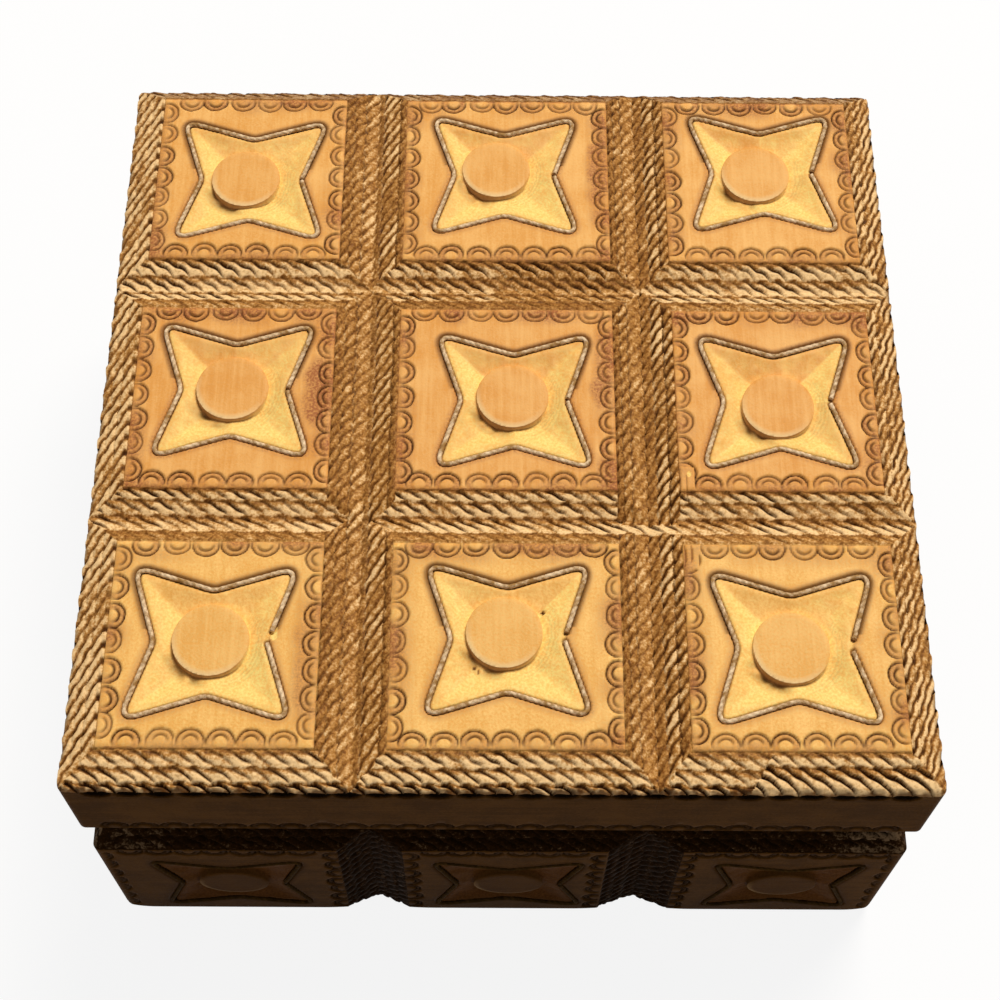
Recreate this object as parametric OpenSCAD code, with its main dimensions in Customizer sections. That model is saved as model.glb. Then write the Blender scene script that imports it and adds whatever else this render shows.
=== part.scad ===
// A square trinket box of pale hardwood, carved all over and inlaid with twisted wire.
// The box was glued up closed, then sawn apart along a V groove that runs round its sides.
// Above the saw cut is the hinged lid: four mitred rim strips under a carved top board.
// Below it is the body: four mitred, carved walls round a bottom board that sits in a rebate.
// Both are divided into tiles by V channels, and each tile has a star cut into it.
// A round disc is left standing in each star, and a twisted wire is hammered in round it.
// Millimetres. The box stands on z = 0 with its front towards -Y, and its middle is the origin.

/* [Box] */
// Width and depth of the square box
box_w = 127; // [125:0.5:131]
// Height of the lid's outer top edge above the table
edge_h = 61.4; // [60:0.1:63]
// Height of the saw cut between the body and the lid
seam_h = 38.8; // [38:0.1:40]
// Thickness of the walls and of the lid's rim
wall_t = 9; // [8.5:0.1:10]
// Radius of the worn upright corners
corner_r = 1.2; // [0.6:0.1:1.4]
// Thickness of the bottom board
bottom_t = 5; // [4:0.5:8]
// How far the bottom board's rebate is cut into each wall
rebate_w = 3.5; // [2:0.5:4]
// Thickness of the top board below the lid's outer top edge
top_board_t = 6.5; // [5.5:0.1:8]

/* [Groove at the saw cut] */
// How deep the groove is cut into the sides
groove_depth = 2.4; // [2.4:0.1:2.8]
// Height of each of its two slopes
groove_slope_h = 5.7; // [5.2:0.1:6.2]

/* [Carving of the lid] */
// How far the tiles stand above the outer edge, which is also the depth of the channels
tile_rise = 1.8; // [1.4:0.1:2]
// Width of the slope along the left edge
slope_left = 4.9; // [4:0.1:5.4]
// Width of the slope along the right edge
slope_right = 4.5; // [4:0.1:5.4]
// Width of the slope along the front edge
slope_front = 5.7; // [5:0.1:6]
// Width of the slope along the back edge
slope_back = 2.9; // [2.5:0.1:4]
// Places of the two channels that run from front to back
channel_x = [-21.8, 22.4]; // [-24:0.1:24]
// Their widths
channel_x_w = [9.9, 9.1]; // [8:0.1:10]
// Places of the two channels that run from left to right
channel_y = [-20, 22.4]; // [-24:0.1:24]
// Their widths
channel_y_w = [8.7, 9.2]; // [8:0.1:10]

/* [Carving of the sides] */
// Places of the two upright channels in each side
side_channel_x = [-20.5, 22.7]; // [-24:0.1:24]
// Their widths
side_channel_w = [10.1, 11.9]; // [8:0.1:12]
// Their depth
side_channel_depth = 2.2; // [1.8:0.1:2.4]
// Height of the middle of the stars above the table
side_star_h = 15.1; // [14.9:0.1:16]

/* [Stars] */
// How far a star's tips are from its middle, left to right and up and down
star_tip = 10.85; // [10.5:0.05:11]
// How far the notches between its arms are from its middle
star_notch = 7.8; // [7.5:0.05:7.9]
// How deep the cuts would meet below the middle, if no disc were left standing
star_depth = 2.9; // [2:0.1:3.4]
// Radius of the disc left standing
disc_r = 5.7; // [5.2:0.1:6]

/* [Wires] */
// Thickness of the wire
wire_d = 1.1; // [0.9:0.05:1.2]
// How far the wire is sunk into the wood
wire_sink = 0.75; // [0.6:0.05:0.8]
// How far the corners of the wire's run round a tip are from the middle
wire_tip = 12.15; // [12:0.05:12.3]
// How far its corners at the notches are from the middle
wire_notch = 8.45; // [8.4:0.05:8.6]
// Radius of the bends round the tips
tip_bend_r = 1.5; // [1:0.1:2]
// Radius of the bends at the notches
notch_bend_r = 0.9; // [0.7:0.1:1.2]
// Play between the wire and the sides of its cut
wire_play = 0.02; // [0.01:0.01:0.05]

/* [Hinges] */
// Distance of each hinge's middle from the middle of the box
hinge_x = 38; // [30:1:42]
// Width of a hinge
hinge_w = 18; // [16:1:22]
// Thickness of a leaf
leaf_t = 0.9; // [0.7:0.1:1]
// How far a leaf reaches into the box from the pin's axis
leaf_reach = 7; // [6.6:0.1:7.4]
// Outer radius of a knuckle
knuckle_r = 1.1; // [1:0.05:1.15]
// Radius of the pin
pin_r = 0.55; // [0.45:0.05:0.6]
// Play round the pin in the lid's knuckle
pin_play = 0.03; // [0.02:0.01:0.08]
// Distance of each screw from the hinge's middle
screw_x = 5.6; // [5:0.1:6.5]
// Distance of the screws from the pin's axis
screw_reach = 4.3; // [4:0.1:4.6]

/* [Hidden] */
ROWS = ["front", "middle", "back"];
COLUMNS = ["left", "middle", "right"];
SIDES = ["front", "right", "back", "left"];

// The stars were set out by eye, so each has its own place, a little off the middle of its tile.
// They are listed as the tiles are, from the front row's left tile.
lid_star_places = [
    [-43.0, -41.2], [0.7, -40.4], [43.0, -41.5],
    [-42.5, 2.1], [1.7, 0.5], [43.2, 0.5],
    [-42.4, 43.3], [0.1, 44.6], [43.6, 45.4]
];
// The gap between the two ends of each wire, in the same order
lid_wire_gaps = [1.3, 1.4, 1.9, 0.5, 0.5, 0.7, 0.5, 0.5, 0.7];
// Places of the three stars along a side, from its left, and the gaps of their wires
side_star_x = [-43.6, 1.4, 46.4];
side_wire_gap = 0.8;

half_w = box_w / 2;
inner_half_w = half_w - wall_t;
top_h = edge_h + tile_rise;
rim_top_h = edge_h - top_board_t;
// Room that a cutting tool runs past the wood
past = 2;
round_fn = 48;
screw_fn = 24;
// The wire is swept with this many sides, and its bends are taken in steps no longer than this angle
wire_sides = 6;
bend_step = 35;

// The knuckles lie in the groove and clear its slopes by this much
knuckle_gap = 0.1;
groove_slope_l = norm([groove_depth, groove_slope_h]);
pin_y = half_w - groove_depth + (knuckle_r + knuckle_gap) * groove_slope_l / groove_slope_h;
// Play between the leaves when the lid is shut is twice this
leaf_play = 0.05;
// Play between a leaf and its recess, and between a knuckle and the other leaf
recess_play = 0.05;
knuckle_side_gap = 0.2;
knuckle_end_gap = 0.1;
knuckle_l = (hinge_w - 2 * knuckle_end_gap) / 3;
// A screw's length below the leaf's face, its shank, its head and its slot
screw_l = 6.5;
screw_r = 0.6;
screw_head_r = 1.25;
screw_head_h = 0.65;
slot_w = 0.35;
slot_depth = 0.25;
screw_play = 0.02;

// Straight outline of the box with its worn corners
module box_outline() {
    square([box_w - 2 * corner_r, box_w], center = true);
    square([box_w, box_w - 2 * corner_r], center = true);
    for (x = [-1, 1]) for (y = [-1, 1])
        translate([x * (half_w - corner_r), y * (half_w - corner_r)])
            circle(r = corner_r, $fn = round_fn);
}

module slab(low, high) {
    translate([0, 0, low]) linear_extrude(high - low) box_outline();
}

// One mitred side of the box, the front one, between two heights
module mitred_side(low, high) {
    out = half_w + past;
    intersection() {
        slab(low, high);
        translate([0, 0, low - past])
            linear_extrude(high - low + 2 * past)
                polygon([[-out, -out], [out, -out], [inner_half_w, -inner_half_w], [-inner_half_w, -inner_half_w]]);
    }
}

// The V groove in the front, with the saw cut at its bottom
module groove_cut() {
    rotate([90, 0, 90])
        linear_extrude(box_w + 2 * past, center = true)
            polygon([
                [-half_w, seam_h - groove_slope_h],
                [-half_w + groove_depth, seam_h],
                [-half_w, seam_h + groove_slope_h],
                [-half_w - past, seam_h + groove_slope_h],
                [-half_w - past, seam_h - groove_slope_h]
            ]);
}

// Cross-section of a V channel that is cut down into a surface at height 0
module v_section(width, depth) {
    flare = 1 + past / depth;
    polygon([[-width / 2 * flare, past], [0, -depth], [width / 2 * flare, past]]);
}

// A slope along one edge of the lid, from the outer edge up to the tiles
module edge_slope_cut(turn, width) {
    fall = tile_rise / width;
    rotate([0, 0, turn])
        translate([-half_w, 0, edge_h])
            rotate([90, 0, 0])
                linear_extrude(box_w + 2 * past, center = true)
                    polygon([
                        [-past, -past * fall],
                        [width + past, (width + past) * fall],
                        [-past, (width + past) * fall]
                    ]);
}

// Outline of a star, from its right-hand notch round to the left
function star_outline(tip, notch) = [
    [notch, 0], [tip, tip], [0, notch], [-tip, tip],
    [-notch, 0], [-tip, -tip], [0, -notch], [tip, -tip]
];

// The star's eight facets fall to one point, and the disc is left standing at their middle
module star_cut() {
    above = 0.3;
    flare = 1 + above / star_depth;
    difference() {
        translate([0, 0, above])
            mirror([0, 0, 1])
                linear_extrude(star_depth + above, scale = 0)
                    polygon(flare * star_outline(star_tip, star_notch));
        translate([0, 0, -star_depth - above])
            cylinder(r = disc_r, h = star_depth + 3 * above, $fn = round_fn);
    }
}

// The wire's run round a star: it starts and ends at the right-hand notch, with a gap between its ends
function wire_corners(gap) = concat(
    [wire_start(gap)],
    [for (i = [1:7]) star_outline(wire_tip, wire_notch)[i]],
    [let (s = wire_start(gap)) [s.x, -s.y]]
);
function wire_start(gap) =
    let (along = [wire_tip - wire_notch, wire_tip])
    [wire_notch, 0] + along * (gap / 2 / along.y);
function heading(a, b) = atan2(b.y - a.y, b.x - a.x);
// Turn to the left at corner i, negative at a notch
function corner_turn(p, i) =
    let (change = heading(p[i], p[i + 1]) - heading(p[i - 1], p[i]))
    change - 360 * round(change / 360);
function bend_r(turn) = turn > 0 ? tip_bend_r : notch_bend_r;
// Straight length lost to the bend at corner i
function bend_reach(p, i) =
    i == 0 || i == len(p) - 1 ? 0
    : let (turn = corner_turn(p, i)) bend_r(turn) * tan(abs(turn) / 2);
function ahead(angle) = [cos(angle), sin(angle)];

// Points along the wire's run, each with the way it heads there; the bends are taken in short steps
function bend_points(p, i) =
    let (
        turn = corner_turn(p, i),
        way = heading(p[i - 1], p[i]),
        side = 90 * sign(turn),
        start = p[i] - bend_reach(p, i) * ahead(way),
        middle = start + bend_r(turn) * ahead(way + side),
        steps = ceil(abs(turn) / bend_step)
    )
    [for (k = [0:steps]) let (now = way + turn * k / steps) [middle - bend_r(turn) * ahead(now + side), now]];
function run_points(p, longer) = concat(
    [let (way = heading(p[0], p[1])) [p[0] - longer * ahead(way), way]],
    [for (i = [1:len(p) - 2]) each bend_points(p, i)],
    [let (last = len(p) - 1, way = heading(p[last - 1], p[last])) [p[last] + longer * ahead(way), way]]
);

// The wire itself: rings of points round each point of its run, joined up
module star_wire(gap) {
    run = run_points(wire_corners(gap), 0);
    rings = len(run);
    ring_angle = 360 / wire_sides;
    points = [
        for (q = run) for (k = [0:wire_sides - 1])
            let (out = wire_d / 2 * cos(k * ring_angle), up = wire_d / 2 * sin(k * ring_angle))
            let (place = q[0] + out * ahead(q[1] - 90))
            [place.x, place.y, up]
    ];
    walls = [
        for (i = [0:rings - 2]) for (k = [0:wire_sides - 1])
            let (
                a = i * wire_sides + k,
                b = i * wire_sides + (k + 1) % wire_sides,
                c = b + wire_sides,
                d = a + wire_sides
            )
            each [[a, b, c], [a, c, d]]
    ];
    start_face = [for (k = [wire_sides - 1:-1:0]) k];
    end_face = [for (k = [0:wire_sides - 1]) (rings - 1) * wire_sides + k];
    translate([0, 0, wire_d / 2 - wire_sink])
        polyhedron(points, concat([start_face, end_face], walls));
}

// The flat-bottomed cut that the wire is hammered into
module wire_cut(gap) {
    run = run_points(wire_corners(gap), wire_play);
    half_cut = wire_d / 2 + wire_play;
    left = [for (q = run) q[0] + half_cut * ahead(q[1] + 90)];
    right = [for (i = [len(run) - 1:-1:0]) run[i][0] + half_cut * ahead(run[i][1] - 90)];
    translate([0, 0, -wire_sink])
        linear_extrude(wire_sink + past)
            polygon(concat(left, right));
}

// Puts a shape that is drawn on a flat surface at star i of the lid, or at star i of the front
module at_lid_star(i) {
    translate([lid_star_places[i].x, lid_star_places[i].y, top_h]) children();
}
module at_side_star(i) {
    translate([side_star_x[i], -half_w, side_star_h]) rotate([90, 0, 0]) children();
}

// Puts a shape at the middle of the left or right hinge's pin, with the box's inside towards -Y
module at_hinge(end) {
    translate([end == "left" ? -hinge_x : hinge_x, pin_y, seam_h]) children();
}

// The recess for one leaf with its two screw holes; way is 1 in the lid and -1 in the body
module leaf_recess(way) {
    deep = leaf_play + leaf_t + recess_play;
    mirror([0, 0, way < 0 ? 1 : 0]) {
        translate([-hinge_w / 2 - recess_play, -leaf_reach - recess_play, -past])
            cube([hinge_w + 2 * recess_play, leaf_reach + past, deep + past]);
        for (x = [-screw_x, screw_x])
            translate([x, -screw_reach, 0])
                cylinder(r = screw_r + screw_play, h = leaf_play + screw_l + 2 * screw_play, $fn = screw_fn);
    }
}

module screw_shape(play) {
    translate([0, 0, screw_head_h])
        cylinder(r = screw_r + play, h = screw_l - screw_head_h, $fn = screw_fn);
    cylinder(r1 = screw_head_r + play, r2 = screw_r + play, h = screw_head_h, $fn = screw_fn);
}

// One leaf, lying above the pin's axis; its own knuckles start at the given places along the pin
module leaf(knuckle_starts, bore_r) {
    difference() {
        union() {
            translate([-hinge_w / 2, -leaf_reach, leaf_play])
                cube([hinge_w, leaf_reach - knuckle_r - knuckle_side_gap, leaf_t]);
            for (x = knuckle_starts) {
                translate([x, -knuckle_r - 2 * knuckle_side_gap, leaf_play])
                    cube([knuckle_l, knuckle_r + 2 * knuckle_side_gap, leaf_t]);
                translate([x, 0, 0])
                    rotate([0, 90, 0])
                        cylinder(r = knuckle_r, h = knuckle_l, $fn = round_fn);
            }
        }
        translate([-hinge_w / 2 - past, 0, 0])
            rotate([0, 90, 0])
                cylinder(r = bore_r, h = hinge_w + 2 * past, $fn = round_fn);
        for (x = [-screw_x, screw_x])
            translate([x, -screw_reach, leaf_play])
                screw_shape(screw_play);
    }
}

// Two screws of one leaf that lies above the pin's axis
module leaf_screws() {
    for (x = [-screw_x, screw_x])
        translate([x, -screw_reach, leaf_play + screw_play])
            difference() {
                screw_shape(0);
                translate([-screw_head_r, -slot_w / 2, -slot_depth])
                    cube([2 * screw_head_r, slot_w, 2 * slot_depth]);
            }
}

// Top board: nine tiles between V channels, each with its star and the cut for its wire
module lid_top_board() {
    color("#c98a3c")
        difference() {
            slab(rim_top_h, top_h);
            edge_slope_cut(0, slope_left);
            edge_slope_cut(90, slope_front);
            edge_slope_cut(180, slope_right);
            edge_slope_cut(270, slope_back);
            for (i = [0, 1]) {
                translate([channel_x[i], 0, top_h])
                    rotate([90, 0, 0])
                        linear_extrude(box_w + 2 * past, center = true)
                            v_section(channel_x_w[i], tile_rise);
                translate([0, channel_y[i], top_h])
                    rotate([90, 0, 90])
                        linear_extrude(box_w + 2 * past, center = true)
                            v_section(channel_y_w[i], tile_rise);
            }
            for (i = [0:8]) at_lid_star(i) {
                star_cut();
                wire_cut(lid_wire_gaps[i]);
            }
        }
}

// A strip of the lid's rim, mitred at both ends; the back one is recessed for the hinges
module lid_rim(i) {
    color("#8a5a2c")
        difference() {
            rotate([0, 0, 90 * i])
                difference() {
                    mitred_side(seam_h, rim_top_h);
                    groove_cut();
                }
            if (SIDES[i] == "back")
                for (end = ["left", "right"]) at_hinge(end) leaf_recess(1);
        }
}

// A wall of the body, mitred at both ends, with three carved cells
module wall(i) {
    color("#a06c34")
        difference() {
            rotate([0, 0, 90 * i])
                difference() {
                    mitred_side(0, seam_h);
                    groove_cut();
                    for (k = [0, 1])
                        translate([side_channel_x[k], -half_w, -past])
                            mirror([0, 1, 0])
                                linear_extrude(seam_h + 2 * past)
                                    v_section(side_channel_w[k], side_channel_depth);
                    for (k = [0:2]) at_side_star(k) {
                        star_cut();
                        wire_cut(side_wire_gap);
                    }
                    translate([-half_w, -inner_half_w - rebate_w, -past])
                        cube([box_w, rebate_w + past, bottom_t + past]);
                }
            if (SIDES[i] == "back")
                for (end = ["left", "right"]) at_hinge(end) leaf_recess(-1);
        }
}

// The bottom board lies in the walls' rebate, flush with their lower edges
module bottom_board() {
    board_w = 2 * (inner_half_w + rebate_w);
    color("#b98746")
        translate([-board_w / 2, -board_w / 2, 0])
            cube([board_w, board_w, bottom_t]);
}

module lid_wire(i) {
    color("#8f7f68") at_lid_star(i) star_wire(lid_wire_gaps[i]);
}

module side_wire(i, k) {
    color("#8f7f68") rotate([0, 0, 90 * i]) at_side_star(k) star_wire(side_wire_gap);
}

module hinge_lid_leaf(end) {
    color("#b8963e") at_hinge(end) leaf([-knuckle_l / 2], pin_r + pin_play);
}

// The body's leaf has the two outer knuckles and grips the pin
module hinge_body_leaf(end) {
    squeeze = 0.01;
    color("#b8963e")
        at_hinge(end)
            mirror([0, 0, 1])
                leaf([-hinge_w / 2, hinge_w / 2 - knuckle_l], pin_r - squeeze);
}

module hinge_pin(end) {
    color("#c8a850")
        at_hinge(end)
            translate([-hinge_w / 2, 0, 0])
                rotate([0, 90, 0])
                    cylinder(r = pin_r, h = hinge_w, $fn = round_fn);
}

module lid_hinge_screws() {
    color("#c8a850") for (end = ["left", "right"]) at_hinge(end) leaf_screws();
}

module body_hinge_screws() {
    color("#c8a850") for (end = ["left", "right"]) at_hinge(end) mirror([0, 0, 1]) leaf_screws();
}

lid_top_board();
for (i = [0:3]) lid_rim(i);
for (i = [0:8])
    lid_wire(i);
for (i = [0:3]) wall(i);
bottom_board();
for (i = [0:3]) for (k = [0:2])
    side_wire(i, k);
for (end = ["left", "right"]) {
    hinge_lid_leaf(end);
    hinge_body_leaf(end);
    hinge_pin(end);
}
lid_hinge_screws();
body_hinge_screws();
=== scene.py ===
import math

import bmesh
import bpy
import numpy as np
from mathutils import Matrix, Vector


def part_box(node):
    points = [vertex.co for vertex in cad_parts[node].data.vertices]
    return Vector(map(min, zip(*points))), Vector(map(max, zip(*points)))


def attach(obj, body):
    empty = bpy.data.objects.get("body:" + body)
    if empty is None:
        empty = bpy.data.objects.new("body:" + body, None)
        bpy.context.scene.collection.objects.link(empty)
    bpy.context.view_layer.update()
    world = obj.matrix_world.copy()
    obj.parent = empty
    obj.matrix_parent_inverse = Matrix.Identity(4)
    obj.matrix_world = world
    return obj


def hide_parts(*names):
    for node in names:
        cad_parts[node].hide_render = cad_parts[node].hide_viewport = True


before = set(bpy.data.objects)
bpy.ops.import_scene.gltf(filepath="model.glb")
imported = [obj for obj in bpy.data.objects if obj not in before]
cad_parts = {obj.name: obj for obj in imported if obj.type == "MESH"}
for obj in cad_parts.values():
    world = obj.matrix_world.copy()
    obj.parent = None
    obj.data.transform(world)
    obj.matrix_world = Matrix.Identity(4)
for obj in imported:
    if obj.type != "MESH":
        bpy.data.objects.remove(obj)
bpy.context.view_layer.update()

# The view. The camera stands where the photo was taken: above the front of the box, a little left of
# its middle, and looking steeply down on the lid.
camera_place = (-0.00235, -0.14831, 0.31269)
camera_turn, camera_down, camera_roll = (math.radians(a) for a in (-0.821, 62.30, 1.09))
camera = bpy.data.objects.new("camera", bpy.data.cameras.new("camera"))
camera.data.lens = 66.3
camera.data.clip_start = 0.01
camera.matrix_world = (
    Matrix.Translation(camera_place)
    @ Matrix.Rotation(camera_turn, 4, "Z")
    @ Matrix.Rotation(math.pi / 2 - camera_down, 4, "X")
    @ Matrix.Rotation(camera_roll, 4, "Z")
)
bpy.context.scene.collection.objects.link(camera)
bpy.context.scene.camera = camera
bpy.context.scene.view_settings.view_transform = "Standard"


# Light and floor. One large soft lamp hangs behind the box, a little to its right, so that the front
# lies in its own shade as in the photo. The floor and the room behind it are plain white.
def colour(hex_value, alpha=1.0):
    """An sRGB hex value as the linear colour that a shader's socket takes"""
    parts = [int(hex_value[i:i + 2], 16) / 255 for i in (1, 3, 5)]
    return tuple(c / 12.92 if c <= 0.04045 else ((c + 0.055) / 1.055) ** 2.4 for c in parts) + (alpha,)


def add(tree, kind, inputs=(), **settings):
    """Adds a node. Settings are its own; inputs give each socket a value, or the socket that feeds it."""
    node = tree.nodes.new(kind)
    for name, value in settings.items():
        setattr(node, name, value)
    for socket, value in dict(inputs).items():
        if isinstance(value, bpy.types.NodeSocket):
            tree.links.new(value, node.inputs[socket])
        else:
            node.inputs[socket].default_value = value
    return node


def new_tree(name):
    """A new material and its empty node tree"""
    material = bpy.data.materials.new(name)
    material.use_nodes = True
    material.node_tree.nodes.clear()
    return material, material.node_tree


def seen_share(tree):
    """1 for what the camera sees directly, mirrored or through glass, and 0 for light that bounces"""
    path = add(tree, "ShaderNodeLightPath")
    seen = add(tree, "ShaderNodeMath", {0: path.outputs["Is Camera Ray"], 1: path.outputs["Is Glossy Ray"]},
               operation="MAXIMUM")
    return add(tree, "ShaderNodeMath", {0: seen.outputs[0], 1: path.outputs["Is Transmission Ray"]},
               operation="MAXIMUM").outputs[0]


sky_light = 0.22
world = bpy.data.worlds.new("white_room")
bpy.context.scene.world = world
world.use_nodes = True
world.node_tree.nodes.clear()
sky_strength = add(world.node_tree, "ShaderNodeMapRange",
                   {0: seen_share(world.node_tree), "To Min": sky_light, "To Max": 1.0})
sky = add(world.node_tree, "ShaderNodeBackground",
          {"Color": colour("#FFFFFF"), "Strength": sky_strength.outputs[0]})
add(world.node_tree, "ShaderNodeOutputWorld", {"Surface": sky.outputs[0]})

lamp_place, lamp_size, lamp_power = (0.68, 1.2, 2.25), 1.2, 65.0
lamp = bpy.data.objects.new("soft_lamp", bpy.data.lights.new("soft_lamp", "AREA"))
lamp.data.shape = "DISK"
lamp.data.size = lamp_size
lamp.data.energy = lamp_power
lamp.data.color = colour("#FFF6EA")[:3]
lamp_way = Matrix.Translation(lamp_place).to_translation()
lamp.matrix_world = Matrix.Translation(lamp_place) @ lamp_way.to_track_quat("Z", "Y").to_matrix().to_4x4()
bpy.context.scene.collection.objects.link(lamp)

floor_material, tree = new_tree("white_floor")
floor_paint = add(tree, "ShaderNodeBsdfDiffuse", {"Color": colour("#C8C8C8")})
floor_glow = add(tree, "ShaderNodeEmission", {"Color": colour("#FFFFFF"), "Strength": 1.1})
floor_shown = add(tree, "ShaderNodeMapRange", {0: seen_share(tree), "To Min": 0.0, "To Max": 0.8})
floor_mix = add(tree, "ShaderNodeMixShader", {
    0: floor_shown.outputs[0], 1: floor_paint.outputs[0], 2: floor_glow.outputs[0]})
add(tree, "ShaderNodeOutputMaterial", {"Surface": floor_mix.outputs[0]})
floor_bm = bmesh.new()
bmesh.ops.create_grid(floor_bm, x_segments=1, y_segments=1, size=2.0)
floor_mesh = bpy.data.meshes.new("floor")
floor_bm.to_mesh(floor_mesh)
floor = bpy.data.objects.new("floor", floor_mesh)
floor_mesh.materials.append(floor_material)
bpy.context.scene.collection.objects.link(floor)


# Walls of the body. Four boards of pale close-grained wood, mitred and glued, then carved by hand: a V
# groove at the saw cut, two upright V channels in each, half-moon punch marks, and stars cut in the
# cells between with a disc left standing. The channels are punched to look like rows of rope.
SIDES = ["front", "right", "back", "left"]
COLUMNS = ["left", "middle", "right"]
# All sizes are in mm, and mm turns them to metres
mm = 0.001
half_w = 63.5
wall_t = 9.0
inner_half_w = half_w - wall_t
corner_r = 1.2
seam_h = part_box("wall_front")[1].z / mm
bottom_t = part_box("bottom_board")[1].z / mm
rebate_half_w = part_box("bottom_board")[1].x / mm
edge_h = 61.4
groove_depth, groove_slope_h = 2.4, 5.7
side_channels = [(-20.5, 10.1), (22.7, 11.9)]
side_channel_depth = 2.2
# A star's tips reach star_tip from its middle both ways, and its notches star_notch one way. Its wire runs
# just outside it and bends in short curves, and its disc stands in it
star_tip, star_notch, star_depth, disc_r = 11.2, 8.0, 1.35, 5.7
wire_tip, wire_notch, wire_r, wire_sink = 12.35, 8.35, 0.37, 0.6
tip_bend, notch_bend = 3.2, 1.0
side_wire_ends = (0.4, 0.4)
punch_pitch, punch_half_w = 4.45, 2.15
# The bottom edge is rounded, and worn up at the corners
foot_r, foot_w, foot_h = 0.6, 5.0, 3.0
# Half the length of a side's outline, measured round its two worn corners to the mitres
flat_half = half_w - corner_r
outline_half = flat_half + corner_r * math.pi / 4


def fade(low, high, x):
    """0 up to low, 1 from high, and smooth between them"""
    share = np.clip((x - low) / (high - low), 0, 1)
    return share * share * (3 - 2 * share)


def chance(number, seed):
    """A fixed random share for each whole number, such as a strand's or a punch mark's"""
    return np.modf(np.abs(np.sin(number * 12.9898 + seed * 78.233)) * 43758.5453)[0]


def rough(x, y, grain, seed):
    """Smooth random unevenness from -0.5 to 0.5, with bumps about as wide as the grain"""
    count = 97
    field = np.random.default_rng(seed).random((count, count)) - 0.5
    i, j = np.floor(x / grain), np.floor(y / grain)
    u, v = fade(0, 1, x / grain - i), fade(0, 1, y / grain - j)
    i, j = i.astype(int) % count, j.astype(int) % count
    next_i, next_j = (i + 1) % count, (j + 1) % count
    low = field[i, j] * (1 - u) + field[next_i, j] * u
    high = field[i, next_j] * (1 - u) + field[next_i, next_j] * u
    return low * (1 - v) + high * v


# How deep the parts of a rope are cut in mm: the lines between strands, the seams between rows, the nap
line_cut, seam_cut, nap_cut = 0.36, 0.15, 0.14
narrow_row = 1.0


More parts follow.
